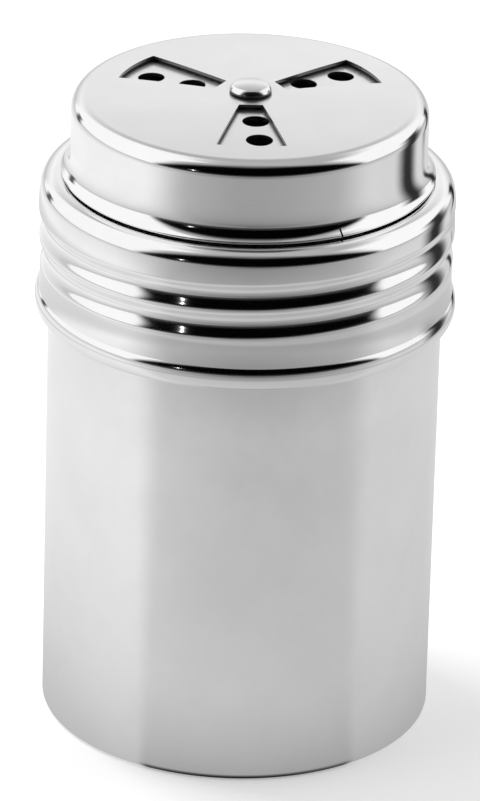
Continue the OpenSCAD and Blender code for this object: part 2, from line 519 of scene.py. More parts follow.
@dataclass(frozen=True)
class SheetSteel:
    """Stainless steel sheet, drawn or turned and then polished on a buffing wheel.

    It mirrors what stands round it. The wheel leaves fine lines round the piece, and
    handling leaves soft clouds in its gloss. The sheet is a little wavy, so that straight
    edges of what it mirrors bend slightly.
    """

    name: str
    tint: str = "#EFEFEF"
    cloud_tint: str = "#EBEBEB"
    roughness: float = 0.07
    cloud_gain: float = 0.03      # how much duller the clouds are
    cloud_mm: float = 14.0        # size of a cloud
    wave_mm: float = 22.0         # distance between waves of the sheet
    wave_height: float = 0.012    # height of a wave in millimetres
    line_mm: float = 0.35         # real lines are about 0.03 mm apart, too fine to show
    line_height: float = 0.0006
    satin: float | None = None    # roughness of a satin top, where the piece has one
    satin_z: Pair = (0.0, 0.0)    # heights between which the satin sets in

    def material(self) -> bpy.types.Material:
        """Makes the node material.

        Returns:
            The material.
        """
        material, tree = new_material(self.name)
        place = add_node(tree, "ShaderNodeTexCoord").outputs["Object"]
        # Squeezed sideways, the noise becomes lines that run round the piece.
        squeezed = add_node(tree, "ShaderNodeMapping", {"Vector": place, "Scale": (0.02, 0.02, 1.0)})
        cloud, wave, lines = (
            add_node(
                tree, "ShaderNodeTexNoise",
                {"Vector": vector, "Scale": 1 / (size * MM), "Detail": detail, "Roughness": rough},
            )
            for vector, size, detail, rough in (
                (place, self.cloud_mm, 4.0, 0.6),
                (place, self.wave_mm, 1.0, 0.5),
                (squeezed, self.line_mm, 3.0, 0.7),
            )
        )
        colour = add_node(
            tree, "ShaderNodeValToRGB", {"Fac": cloud}, ((0.38, self.cloud_tint), (0.62, self.tint))
        )
        roughness = add_node(
            tree, "ShaderNodeMapRange",
            {
                "Value": cloud, "From Min": 0.35, "From Max": 0.65,
                "To Min": self.roughness + self.cloud_gain, "To Max": self.roughness,
            },
            interpolation_type="SMOOTHSTEP",
        )
        if self.satin is not None:
            height = add_node(tree, "ShaderNodeSeparateXYZ", {"Vector": place}).outputs["Z"]
            none, full = self.satin_z
            on_top = soft_mask(tree, [(height, none * MM, full * MM)])
            roughness = add_node(
                tree, "ShaderNodeMix", {"Factor": on_top, "A": roughness, "B": self.satin},
                data_type="FLOAT",
            )
        wavy = add_node(
            tree, "ShaderNodeBump",
            {"Height": wave, "Strength": 1.0, "Distance": self.wave_height * MM},
        )
        lined = add_node(
            tree, "ShaderNodeBump",
            {"Height": lines, "Strength": 1.0, "Distance": self.line_height * MM, "Normal": wavy},
        )
        shader = add_node(
            tree, "ShaderNodeBsdfPrincipled",
            {"Base Color": colour, "Metallic": 1.0, "Roughness": roughness, "Normal": lined},
        )
        add_node(tree, "ShaderNodeOutputMaterial", {"Surface": shader})
        return material


@dataclass(frozen=True)
class Grained:
    """A matt surface with a fine grain, and with two tones that mingle."""

    name: str
    tint: str
    shade: str
    roughness: float
    grain_mm: float
    grain_height: float
    metallic: float = 0.0
    mottle_mm: float = 0.0        # size of the patches of tone, or 0 where the grain has the tones

    def material(self) -> bpy.types.Material:
        """Makes the node material.

        Returns:
            The material.
        """
        material, tree = new_material(self.name)
        place = add_node(tree, "ShaderNodeTexCoord").outputs["Object"]
        grain = mottle = add_node(
            tree, "ShaderNodeTexNoise",
            {"Vector": place, "Scale": 1 / (self.grain_mm * MM), "Detail": 3.0},
        )
        if self.mottle_mm:
            mottle = add_node(
                tree, "ShaderNodeTexNoise",
                {"Vector": place, "Scale": 1 / (self.mottle_mm * MM), "Detail": 2.0},
            )
        colour = add_node(
            tree, "ShaderNodeValToRGB", {"Fac": mottle}, ((0.35, self.shade), (0.65, self.tint))
        )
        bump = add_node(
            tree, "ShaderNodeBump",
            {"Height": grain, "Strength": 1.0, "Distance": self.grain_height * MM},
        )
        shader = add_node(
            tree, "ShaderNodeBsdfPrincipled",
            {
                "Base Color": colour, "Metallic": self.metallic, "Roughness": self.roughness,
                "Normal": bump,
            },
        )
        add_node(tree, "ShaderNodeOutputMaterial", {"Surface": shader})
        return material


@dataclass(frozen=True)
class DullSteel(Grained):
    """Steel as the press leaves it, where no polishing wheel reaches: grey, matt and grainy."""

    grain_mm: float = 0.25        # real grain is about 0.03 mm, too fine to show
    grain_height: float = 0.006
    metallic: float = 1.0         # less than 1 where drawing grease has dried on it


@dataclass(frozen=True)
class SiliconeRubber(Grained):
    """Silicone rubber, pressed in a mould: matt, milky, with a faint grain from the mould."""

    tint: str = "#E4E4DF"
    shade: str = "#D6D6D0"
    roughness: float = 0.55
    grain_mm: float = 0.3
    grain_height: float = 0.01
    mottle_mm: float = 3.6


Finish = SheetSteel | Grained
# The press leaves the inside of the drawn pieces grey and matt.
INSIDE = DullSteel(
    "unpolished_drawn_steel", tint="#C4C4C3", shade="#B2B2B1", roughness=0.5, metallic=0.4
)
# The punch shears the first part of the hole's wall and tears the rest; the dark grey given to that
# wall is painted shade.
SHADE_PAINTED_EDGE = DullSteel("shade_painted_cut_edge", tint="#808080", shade="#707070", roughness=0.4)
# The press leaves the side of the rivet's head duller, as the wheel reaches only its top; its darker
# tint is painted shade.
SHADE_PAINTED_RIVET_SIDE = DullSteel("shade_painted_rivet_side", tint="#686868", shade="#585858", roughness=0.35)


# ---- the shaker -------------------------------------------------------------


class Body(Enum):
    """The bodies of the frame that pieces ride on."""

    CAN = "can"
    SEAL = "seal"
    LID = "lid"
    DIAL = "dial"


def hand_over(piece: Piece, body: Body, node: str, slot: str, *finishes: Finish) -> None:
    """Dresses a finished piece, lets it ride on its body and stand for its CAD node.

    Args:
        piece: the finished piece.
        body: the body that it moves with.
        node: the CAD node that it stands for.
        slot: name of a material slot in the record; it is not used.
        finishes: one finish for each of the piece's empty slots.
    """
    for index, finish in enumerate(finishes):
        piece.data.materials[index] = finish.material()
    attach(piece, body.value)
    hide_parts(node)
    LOG.info("%s: %d faces, rides on %s", piece.name, len(piece.data.polygons), body.value)


@dataclass
class Can:
    """The drawn can with its rolled mouth and thread, and the seal ring on that mouth."""

    radius: float = 31.0
    height: float = 88.6
    sheet: float = 0.45
    foot_edge_r: float = 1.0
    foot_w: float = 4.2
    base_rise: float = 0.9
    curl_r: float = 0.95
    curl_turn: float = 250.0
    thread: RolledThread = RolledThread(
        height=82.8, start=-330.0, end=140.0, width=4.0, depth=0.9
    )
    thread_zone: Pair = (75.6, 87.2)      # heights between which the thread is rolled
    ring_step: float = 0.3        # height of the faces along the thread
    seal_in_r: float = 28.22
    seal_flat_r: float = 30.0
    seal_out_r: float = 31.02
    seal_t: float = 1.7
    seal_edge: float = 0.25
    finish: SheetSteel = SheetSteel(
        "drawn_stainless_steel", roughness=0.12, cloud_gain=0.05, wave_height=0.02
    )
    rubber: SiliconeRubber = SiliconeRubber("moulded_silicone_rubber")

    def outline(self) -> list[Point]:
        """The can's outside from the middle of its base to the end of its rolled mouth.

        Returns:
            The points in order.
        """
        foot_r = self.radius - self.foot_edge_r
        panel_r = foot_r - self.foot_w - 2 * self.base_rise
        low, high = self.thread_zone
        points = [(0.0, self.base_rise)]
        points += line(points[-1], (panel_r, self.base_rise), step=3.0)
        points += line(points[-1], (foot_r - self.foot_w, 0.0), step=0.5)
        points += line(points[-1], (foot_r, 0.0), step=1.0)
        points += arc((foot_r, self.foot_edge_r), self.foot_edge_r, -90, 0)[1:]
        points += line(points[-1], (self.radius, low), step=4.0)
        points += line(points[-1], (self.radius, high), self.ring_step)
        curl = (self.radius - self.curl_r, self.height - self.curl_r)
        return points + arc(curl, self.curl_r, 0, self.curl_turn, step=12)

    def build_can(self) -> None:
        """Turns the can, rolls its thread and gives its wall a thickness."""
        can = turned("drawn_can", self.outline(), coats=2)
        self.thread.roll(can, *self.thread_zone)
        thicken(can, self.sheet)
        smooth(can)
        hand_over(can, Body.CAN, "can", "can_steel", self.finish, INSIDE)

    def build_seal(self) -> None:
        """Turns the seal ring, with its upper outer edge sloped and all its edges rounded."""
        top = self.height + self.seal_t
        half = self.height + self.seal_t / 2
        corners = [
            (self.seal_in_r, self.height),
            (self.seal_out_r, self.height),
            (self.seal_out_r, half),
            (self.seal_flat_r, top),
            (self.seal_in_r, top),
            (self.seal_in_r, self.height),
        ]
        ring = turned("seal_ring_rubber", corners)
        round_edges(ring, self.seal_edge, segments=3, bend=25)
        smooth(ring, angle=60)
        hand_over(ring, Body.SEAL, "seal_ring", "seal_rubber", self.rubber)

    def build(self) -> None:
        """Builds both pieces."""
        self.build_can()
        self.build_seal()


@dataclass
class ScrewLid:
    """The lid: collar with rolled thread, shoulder, neck and perforated plate, and the rivet."""

    sheet: float = 0.45
    collar_r: float = 32.7
    collar_z: float = 68.3
    wall_r: float = 32.4          # where the wall is narrowest, above the bead
    wall_z: float = 75.8
    shoulder_z: float = 91.05
    shoulder_r: float = 2.6
    settle_h: float = 3.5         # height over which the wall turns upright below the shoulder
    settle_lean: float = 6.0      # its lean at the upper end of that height, in degrees
    neck_r: float = 27.0
    neck_fillet_r: float = 0.9
    plate_z: float = 103.3
    plate_edge_r: float = 2.2
    crown: float = 0.6
    dome_rings: int = 24
    land_r: float = 4.8
    shank_r: float = 1.6
    bead_r: float = 33.15
    bead_h: float = 3.9
    bead_w: float = 0.97          # half the width of the bead's oval section
    bead_start: float = 64.0      # where the wall meets that section, in degrees
    thread: RolledThread = RolledThread(
        height=80.85, start=-215.0, end=370.0, width=4.3, depth=-0.8, upper=0.349
    )
    thread_zone: Pair = (75.2, 88.1)
    ring_step: float = 0.25
    large_hole_d: float = 4.2
    large_hole_r: Pair = (10.1, 17.2)
    small_hole_d: float = 1.8
    small_pitch: float = 3.2
    small_turn: float = 40.0
    hole_turn: float = -84.8
    groups: int = 3
    spacer: Pair = (4.0, 0.27)        # outer radius and thickness
    backing: Pair = (4.2, 0.6)
    washer_edge: float = 0.06
    punched: Pair = (5.0, 22.0)       # distances from the axis between which the holes lie
    punch_depth: float = 1.5          # how far the punches reach below the rim of the plate
    head_r: float = 3.3
    head_gap: float = 0.83            # from the plate's flat middle to the underside of the head
    head_rim_h: float = 0.24          # height of the head's widest part above its underside
    head_seat_r: float = 2.5          # radius of the head's flat underside
    head_side_r: float = 1.6          # radius of its side, seen from the side
    head_shoulder_r: float = 0.6      # radius of the tighter bend between its side and its dome
    head_bends: tuple[float, float, float] = (8.0, 40.0, 79.0)  # lean in degrees where each bend ends
    head_dark_side_h: float = 0.45       # height above its underside up to which its side is painted dark as shade, and from which it is polished
    tail_r: float = 2.5
    tail_h: float = 0.9
    finish: SheetSteel = SheetSteel(
        "polished_stainless_steel", satin=0.25, satin_z=(102.0, 103.0)
    )
    rivet_finish: SheetSteel = SheetSteel("polished_steel_rivet", roughness=0.17, wave_height=0.0)
    washer_finish: SheetSteel = SheetSteel("stamped_steel", tint="#DADBDC", roughness=0.25)

    def outline(self) -> list[Point]:
        """The lid's outside from the rivet's hole to the lower edge of its bead.

        Returns:
            The points in order.
        """
        plate_r = self.neck_r - self.plate_edge_r
        settle = self.settle_h * math.tan(math.radians(self.settle_lean)) / 2
        curve_r = self.collar_r - settle - self.shoulder_r * math.cos(math.radians(self.settle_lean))
        fillet = (self.neck_r + self.neck_fillet_r, self.shoulder_z + self.neck_fillet_r)
        half = self.bead_h / 2
        round_bead = arc(ORIGIN, 1, self.bead_start, 0, step=5.4) + arc(ORIGIN, 1, 0, -90)[1:]
        bead = [
            (self.bead_r - self.bead_w * (1 - c), self.collar_z + half + half * s)
            for c, s in round_bead
        ]
        drop = self.wall_z - bead[0][1]
        out = bead[0][0] - self.wall_r
        points = [(self.shank_r, self.plate_z + self.crown)]
        points += dome(plate_r, self.land_r, self.plate_z, self.crown, self.dome_rings)
        points += arc((plate_r, self.plate_z - self.plate_edge_r), self.plate_edge_r, 90, 0)
        points += line(points[-1], (self.neck_r, fillet[1]), step=2.0)
        points += arc(fillet, self.neck_fillet_r, 180, 270, step=10)[1:]
        points += line(points[-1], (curve_r, self.shoulder_z), step=0.8)
        curve = (curve_r, self.shoulder_z - self.shoulder_r)
        points += arc(curve, self.shoulder_r, 90, self.settle_lean, step=4)[1:]
        top_z = points[-1][1]
        points += [
            (self.collar_r - settle * (1 - u) ** 2, top_z - self.settle_h * u)
            for u in shares(BEND_RINGS)
        ]
        points += line(points[-1], (self.wall_r, self.wall_z), self.ring_step)
        points += [
            (self.wall_r + out * u * u, self.wall_z - drop * u) for u in shares(BEND_RINGS)[:-1]
        ]
        return points + bead

    def hole_places(self) -> list[tuple[float, float, float]]:
        """Works out the places of one group of holes.

        Returns:
            Distance from the axis, direction in degrees and diameter of each hole.
        """
        inner, outer = self.large_hole_r
        places = [(r, 0.0, self.large_hole_d) for r in self.large_hole_r]
        for row, radius in enumerate((inner, (inner + outer) / 2, outer)):
            spread = math.degrees(math.asin(self.small_pitch / radius))
            places += [
                (radius, self.small_turn + (i - row / 2) * spread, self.small_hole_d)
                for i in range(row + 1)
            ]
        return places

    def build_shell(self) -> None:
        """Turns the lid, rolls its thread, thickens it and punches its holes."""
        shell = turned("screw_lid_shell", self.outline(), coats=3)
        self.thread.roll(shell, *self.thread_zone)
        thicken(shell, self.sheet)
        heights = (self.plate_z - self.punch_depth, self.plate_z + self.crown + OVER)
        punches = []
        for group in range(self.groups):
            for radius, direction, diameter in self.hole_places():
                turn = self.hole_turn + group * 360 / self.groups + direction
                punches.append(punch(off(ORIGIN, radius, turn), diameter, heights))
        cut_away(shell, joined(punches))
        # Coat 2, on the walls of the holes, is the dark edge: painted shade.
        coat_walls(shell, 2, heights, self.punched)
        smooth(shell)
        hand_over(shell, Body.LID, "lid_shell", "lid_steel", self.finish, INSIDE, SHADE_PAINTED_EDGE)

    def build_washer(self, name: str, node: str, size: Pair, low: float) -> None:
        """Turns a flat washer with its edges broken, as stamping leaves them.

        Args:
            name: name of the piece.
            node: the CAD node that it stands for.
            size: outer radius and thickness.
            low: height of its underside.
        """
        radius, thick = size
        corners = [
            (self.shank_r, low),
            (radius, low),
            (radius, low + thick),
            (self.shank_r, low + thick),
            (self.shank_r, low),
        ]
        washer = turned(name, corners, SMALL_TURN_STEPS)
        round_edges(washer, self.washer_edge, segments=2, bend=60)
        smooth(washer, angle=60)
        hand_over(washer, Body.LID, node, "washer_steel", self.washer_finish)

    def build_rivet(self) -> None:
        """Turns the rivet: a button head, its shank, and a tail spread under the washer."""
        middle = self.plate_z + self.crown
        head_z = middle + self.head_gap
        rim_z = head_z + self.head_rim_h
        tail_z = middle - self.sheet - self.backing[1]
        rim, steep, flat = self.head_bends
        centre = off((self.head_r, rim_z), -self.head_side_r, rim)
        shoulder = off(centre, self.head_side_r - self.head_shoulder_r, steep)
        edge = off(shoulder, self.head_shoulder_r, flat)
        dome_r = edge[0] / math.cos(math.radians(flat))
        head = arc(off(edge, -dome_r, flat), dome_r, 90, flat, step=1)
        head += arc(shoulder, self.head_shoulder_r, flat, steep, step=4)[1:]
        head += arc(centre, self.head_side_r, steep, rim, step=4)[1:]
        under = self.head_r - self.head_seat_r
        head += [
            (self.head_seat_r + under * c, rim_z - self.head_rim_h * s)
            for c, s in arc(ORIGIN, 1, 0, 90, step=15)[1:]
        ]
        tail = [
            (self.shank_r, tail_z),
            (self.tail_r, tail_z),
            (self.tail_r, tail_z - self.tail_h / 2),
            (self.shank_r, tail_z - self.tail_h),
            (0.0, tail_z - self.tail_h),
        ]
        section = head + [(self.shank_r, head_z)] + tail
        rivet = turned("pivot_rivet_head", section, SMALL_TURN_STEPS, coats=2)
        side = (head_z, head_z + self.head_dark_side_h)
        # The lower side of the head gets the darker coat: painted shade.
        coat_walls(rivet, 1, side, (self.head_seat_r, self.head_r), 1.0)
        smooth(rivet, angle=50)
        hand_over(rivet, Body.LID, "pivot_rivet", "rivet_steel", self.rivet_finish, SHADE_PAINTED_RIVET_SIDE)

    def build(self) -> None:
        """Builds the lid's four pieces."""
        middle = self.plate_z + self.crown
        self.build_shell()
        self.build_washer("spacer_washer_ring", "spacer_washer", self.spacer, middle)
        self.build_washer(
            "backing_washer_ring", "backing_washer", self.backing, middle - self.sheet - self.backing[1]
        )
        self.build_rivet()


@dataclass
class DialCap:
    """The dial: a shallow domed cap with three windows and a skirt that flares at its lip."""

    sheet: float = 0.5
    radius: float = 27.95
    rim_z: float = 104.1
    crown: float = 0.6
    dome_rings: int = 30
    land_r: float = 4.8
    bore_r: float = 1.65
    edge_r: float = 2.55
    lip_z: float = 91.65
    flare_h: float = 6.0
    flare_out: float = 1.5
    flare_fade: float = 1.0       # height over which the flare falls to 37 %
    flare_rings: int = 32
    window_r: Pair = (5.4, 22.0)
    window_w: Pair = (3.7, 11.45)     # at both ends, before the far one is rounded
    window_end_r: float = 21.35       # distance of that rounded end from the axis
    window_turn: float = -88.9
    windows: int = 3
    punched: Pair = (3.0, 23.0)       # distances from the axis between which the windows lie
    punch_depth: float = 2.0          # how far the punches reach below the rim
    slit_w: float = 0.3
    slit_h: float = 1.5
    slit_turn: float = -60.0
    blade_w: float = 6.0              # its size across the wall
    lip_edge_r: float = 0.22
    finish: SheetSteel = SheetSteel(
        "polished_stainless_cap", satin=0.24, satin_z=(103.5, 104.15)
    )

    def outline(self) -> list[Point]:
        """The cap's outside from the shank's hole to the edge of its lip.

        Returns:
            The points in order.
        """
        top_r = self.radius - self.edge_r
        points = [(self.bore_r, self.rim_z + self.crown)]
        points += dome(top_r, self.land_r, self.rim_z, self.crown, self.dome_rings)
        points += arc((top_r, self.rim_z - self.edge_r), self.edge_r, 90, 0, step=3)
        points += line(points[-1], (self.radius, self.lip_z + self.flare_h), step=1.2)
        points += [
            (self.radius + self.flare_out * math.exp(-h / self.flare_fade), self.lip_z + h)
            for h in (self.flare_h * (1 - u) for u in shares(self.flare_rings))
        ]
        return points

    def window_punch(self, direction: float) -> Piece:
        """Models the punch of one window: a plate drawn wide at one end, then extruded up.

        Args:
            direction: where the window points, in degrees from +X.

        Returns:
            The punch, in place.
        """
        near, far = self.window_r
        middle = (far + near) / 2
        place = (middle, 0.0, self.rim_z - self.punch_depth)
        tool = plate("window_punch", (far - near, self.window_w[0]), place)
        widen = self.window_w[1] / self.window_w[0]
        with edit_mode():
            bpy.ops.mesh.select_mode(type="VERT")
            bpy.ops.mesh.select_all(action="DESELECT")
        for vertex in tool.data.vertices:
            vertex.select = vertex.co.x > middle * MM
        with edit_mode():
            bpy.ops.transform.resize(value=(1, widen, 1), center_override=(0, 0, 0))
        return raised(tool, self.punch_depth + self.crown + OVER, direction)

    def slit_blade(self) -> Piece:
        """Models the thin blade that cuts the slit in the lip.

        Returns:
            The blade, in place.
        """
        place = (self.radius + OVER, 0.0, self.lip_z - OVER)
        blade = plate("slit_blade", (self.blade_w, self.slit_w), place)
        return raised(blade, self.slit_h + OVER, self.slit_turn)

    def build(self) -> None:
        """Turns the cap, thickens it, punches its windows and saws its slit."""
        cap = turned("dial_cap_shell", self.outline(), coats=3)
        thicken(cap, self.sheet, self.lip_edge_r)
        turns = [self.window_turn + i * 360 / self.windows for i in range(self.windows)]
        punches = joined([self.window_punch(turn) for turn in turns])
        low, high = self.rim_z - self.punch_depth - OVER, self.rim_z + self.crown + 2 * OVER
        # What the punches have outside this round form is taken off, which rounds their far ends.
        form = punch(ORIGIN, 2 * self.window_end_r, (low, high), TURN_STEPS)
        cut_away(punches, form, "INTERSECT")
        cut_away(cap, punches)
        cut_away(cap, self.slit_blade())
        # Coat 2, on the walls of the windows, is the dark edge: painted shade.
        coat_walls(cap, 2, (self.rim_z - self.sheet, high), self.punched)
        smooth(cap)
        hand_over(cap, Body.DIAL, "dial_cap", "cap_steel", self.finish, INSIDE, SHADE_PAINTED_EDGE)


# ---- the studio -------------------------------------------------------------


@dataclass(frozen=True)
class WhiteBoard:
    """A tall white board at one side, which the steel mirrors.

    Directions are in degrees from the front, to the right, as the shaker sees them.
    """

    start: float
    end: float
    blur: float                   # half the width over which its upright edges fade
    top: Pair                     # heights in degrees between which it fades into the roof

    def mask(self, tree: Tree, turn: Node, rise: Node) -> Node:
        """Masks the board: 1 on it and 0 beside and above it.

        Args:
            tree: the world's node tree.
            turn: gives the direction from the front, to the right, in degrees.
            rise: gives the height above the table in degrees.

        Returns:
            The node that gives the mask.
        """
        full, none = self.top
        edges = (
            (turn, self.start - self.blur, self.start + self.blur),
            (turn, self.end + self.blur, self.end - self.blur),
            (rise, none, full),
        )
        return soft_mask(tree, edges)


@dataclass(frozen=True)
class PaintedTablePatch:
    """A part of the table painted lighter, painted light that only reflections show, beyond a straight
    line.

    Its shades go by nearness: 0 is far away, and 1 is at the foot of the can, where they are painted
    darker as contact shade.
    """

    side: int                     # -1 on the left and 1 on the right
    heading: float                # direction square to the line, in degrees from +X
    offset: float                 # distance from the axis to the line, in millimetres
    shades: Shades


@dataclass(frozen=True)
class Lamp:
    """A square-cornered lamp that faces the shaker."""

    name: str
    place: Place
    size: Pair
    watts: float
    painted_shading: bool                # whether the steel shows it

    def build(self, aim: float) -> None:
        """Hangs the lamp and turns it to the shaker.

        Args:
            aim: height on the axis that it faces, in millimetres.
        """
        data = bpy.data.lights.new(self.name, "AREA")
        data.shape = "RECTANGLE"
        data.size, data.size_y = (side * MM for side in self.size)
        data.energy = self.watts
        lamp = bpy.data.objects.new(self.name, data)
        bpy.context.scene.collection.objects.link(lamp)
        away = Vector(self.place) - Vector((0.0, 0.0, aim))
        facing = away.to_track_quat("Z", "Y").to_matrix().to_4x4()
        lamp.matrix_world = Matrix.Translation(Vector(self.place) * MM) @ facing
        lamp.visible_camera = False
        lamp.visible_glossy = self.painted_shading


@dataclass(frozen=True)
class Flag:
    """A dark upright card with blurred edges that faces the shaker, and only the steel sees."""

    name: str
    direction: float              # from the front, to the right, in degrees
    distance: float
    width: float
    bottom: float
    top: float
    core: float                   # half the width of its even part, as a share of its width
    fade: float                   # share of its height over which it fades at each end
    tone: str = "#303030"

    def build(self) -> None:
        """Stands the card at its place."""
        height = self.top - self.bottom
        card = plate(self.name, (self.width, height))
        upright = Matrix.Rotation(math.pi / 2, 4, "X")
        shift = Matrix.Translation((0, -self.distance * MM, (self.bottom + height / 2) * MM))
        swing = Matrix.Rotation(math.radians(self.direction), 4, "Z")
        card.data.transform(swing @ shift @ upright)
        card.data.materials.append(self.material())
        card.visible_camera = False
        card.visible_diffuse = False
        card.visible_shadow = False

    def material(self) -> bpy.types.Material:
        """Makes the node material, which is clear towards the card's edges.

        Returns:
            The material.
        """
        material, tree = new_material(self.name)
        place = add_node(tree, "ShaderNodeTexCoord").outputs["UV"]
        across, up, _ = add_node(tree, "ShaderNodeSeparateXYZ", {"Vector": place}).outputs
        middle = add_node(tree, "ShaderNodeMath", {0: across, 1: 0.5}, operation="SUBTRACT")
        middle = add_node(tree, "ShaderNodeMath", {0: middle}, operation="ABSOLUTE")
        edges = ((middle, 0.5, self.core), (up, 0.0, self.fade), (up, 1.0, 1.0 - self.fade))
        mask = soft_mask(tree, edges)
        clear = add_node(tree, "ShaderNodeBsdfTransparent")
        dark = add_node(tree, "ShaderNodeEmission", {"Color": linear(self.tone)})
        mixed = add_node(tree, "ShaderNodeMixShader", {0: mask, 1: clear, 2: dark})
        add_node(tree, "ShaderNodeOutputMaterial", {"Surface": mixed})
        material.cycles.emission_sampling = "NONE"
        return material


@dataclass
class Studio:
    """White room, with a dark arched card in front that stands round the camera.

    Directions and heights in the room are in degrees. Shades go with the height there, and on the
    table, where they are painted light and shade that only reflections show, with nearness, as in a
    table patch.
    """

    gain: float = 1.1             # brightness of the room against the shades written here
    roof: Shades = (
        (0.0, "#C8C8C8"), (0.22, "#FCFCFC"), (0.37, "#D0D0D0"), (0.48, "#B6B6B6"),
        (0.6, "#AAAAAA"), (1.0, "#B8B8B8"),
    )
    boards: tuple[WhiteBoard, ...] = (
        WhiteBoard(-150, -57, 4, (66, 82)),
        WhiteBoard(74, 150, 6, (46, 64)),
    )
    card_middle: float = 8.0      # direction of the middle of the dark card
    card_half: float = 60.0       # half its width
    card_droop: float = 43.0      # how much lower it is at that distance from its middle
    card_top: Pair = (54.0, 90.0)     # heights between which it fades, at its middle
    card_shades: Shades = ((0.0, "#4C4C4C"), (0.1, "#030303"))
    spot: Lamp = Lamp("spot_lamp", (-563.0, -826.0, 305.0), (12.0, 50.0), 0.02, True)
    window: Lamp = Lamp("window_lamp", (-820.0, 620.0, 1150.0), (700.0, 700.0), 7.5, False)
    lamp_aim: float = 50.0
    flags: tuple[Flag, ...] = (
        Flag("right_flag", 115.4, 165.3, 95.0, 16.0, 140.0, 0.07, 0.13),
        Flag("right_rear_flag", 145.0, 225.0, 44.0, 0.0, 138.0, 0.1, 0.16, "#202020"),
        Flag("left_rear_flag", -133.5, 500.0, 110.0, 20.0, 200.0, 0.1, 0.2, "#585858"),
    )
    floor_size: float = 12000.0
    floor_lift: float = 0.38      # part of the table's white that no shadow takes
    foot_r: float = 31.0
    # Painted shade of the front of the table: dark far off, and a painted contact shadow at the foot.
    front_painted_shade: Shades = (
        (0.0, "#3C3C3C"), (0.06, "#8C8C8C"), (0.135, "#A6A6A6"), (0.155, "#9E9E9E"),
        (0.19, "#C0C0C0"), (0.5, "#C8C8C8"), (0.94, "#A8A8A8"), (1.0, "#202020"),
    )
    front_shadow_lean: float = -0.1      # how much lighter the front is painted to the right than in the middle; below 0 it is darker there, a painted shadow of the shaker
    front_spread: float = 0.43    # how much of the side patches' tone reaches into the front
    patch_blur: float = 1.1       # softness of the patches' edges, which grows as distance squared
    back_blend: float = 12.0      # half the width of the seam between them, behind the shaker
    patches: tuple[PaintedTablePatch, ...] = (
        PaintedTablePatch(
            -1, -56.0, 14.6,
            (
                (0.0, "#D0D0D0"), (0.125, "#F8F8F8"), (0.142, "#D8D8D8"), (0.166, "#DCDCDC"),
                (0.182, "#F0F0F0"), (0.6, "#D8D8D8"), (1.0, "#C0C0C0"),
            ),
        ),
        PaintedTablePatch(
            1, -106.0, 18.4,
            (
                (0.0, "#C4C4C4"), (0.125, "#DCDCDC"), (0.142, "#C0C0C0"), (0.166, "#C4C4C4"),
                (0.182, "#D6D6D6"), (0.6, "#C8C8C8"), (1.0, "#B0B0B0"),
            ),
        ),
    )

    def build_world(self) -> None:
        """Makes the world: white to the camera, and the room to everything else."""
        world = bpy.data.worlds.new("white_studio")
        bpy.context.scene.world = world
        world.use_nodes = True
        tree = world.node_tree
        tree.nodes.clear()
        direction = add_node(tree, "ShaderNodeTexCoord").outputs["Generated"]
        axes = add_node(tree, "ShaderNodeSeparateXYZ", {"Vector": direction}).outputs
        forward = add_node(tree, "ShaderNodeMath", {0: axes["Y"], 1: -1.0}, operation="MULTIPLY")
        turn = add_node(tree, "ShaderNodeMath", {0: axes["X"], 1: forward}, operation="ARCTAN2")
        rise = add_node(tree, "ShaderNodeMath", {0: axes["Z"]}, operation="ARCSINE")
        turn, rise = (
            add_node(tree, "ShaderNodeMath", {0: angle}, operation="DEGREES") for angle in (turn, rise)
        )
        height = add_node(tree, "ShaderNodeMath", {0: rise, 1: 90.0}, operation="DIVIDE")
        room = add_node(tree, "ShaderNodeValToRGB", {"Fac": height}, self.roof).outputs[0]
        shade = add_node(tree, "ShaderNodeValToRGB", {"Fac": height}, self.card_shades)
        layers = [(board.mask(tree, turn, rise), linear("#FFFFFF")) for board in self.boards]
        layers.append((self.card_mask(tree, turn, rise), shade))
        for mask, tone in layers:
            links = {0: mask, MIX_A: room, MIX_B: tone}
            room = add_node(tree, "ShaderNodeMix", links, data_type="RGBA").outputs[MIX_OUT]
        path = add_node(tree, "ShaderNodeLightPath").outputs
        seen = add_node(
            tree, "ShaderNodeMath", {0: path["Is Camera Ray"], 1: path["Is Transmission Ray"]},
            operation="MAXIMUM",
        )
        white = add_node(tree, "ShaderNodeBackground", {"Color": linear("#FFFFFF")})
        lit = add_node(tree, "ShaderNodeBackground", {"Color": room, "Strength": self.gain})
        mixed = add_node(tree, "ShaderNodeMixShader", {0: seen, 1: lit, 2: white})
        add_node(tree, "ShaderNodeOutputWorld", {"Surface": mixed})

    def card_mask(self, tree: Tree, turn: Node, rise: Node) -> Node:
        """Masks the dark card: its soft top is arched, so that its corners are lower.

        Args:
            tree: the world's node tree.
            turn: gives the direction from the front, to the right, in degrees.
            rise: gives the height above the table in degrees.

        Returns:
            The node that gives the mask.
        """
        left, right = self.card_middle - self.card_half, self.card_middle + self.card_half
        sideways = add_node(
            tree, "ShaderNodeMapRange",
            {"Value": turn, "From Min": left, "From Max": right, "To Min": -1.0, "To Max": 1.0},
            clamp=False,
        )
        squared = add_node(tree, "ShaderNodeMath", {0: sideways, 1: sideways}, operation="MULTIPLY")
        fourth = add_node(tree, "ShaderNodeMath", {0: squared, 1: squared}, operation="MULTIPLY")
        arched = add_node(
            tree, "ShaderNodeMath", {0: fourth, 1: self.card_droop, 2: rise},
            operation="MULTIPLY_ADD",
        )
        full, none = self.card_top
        return soft_mask(tree, [(arched, none, full)])

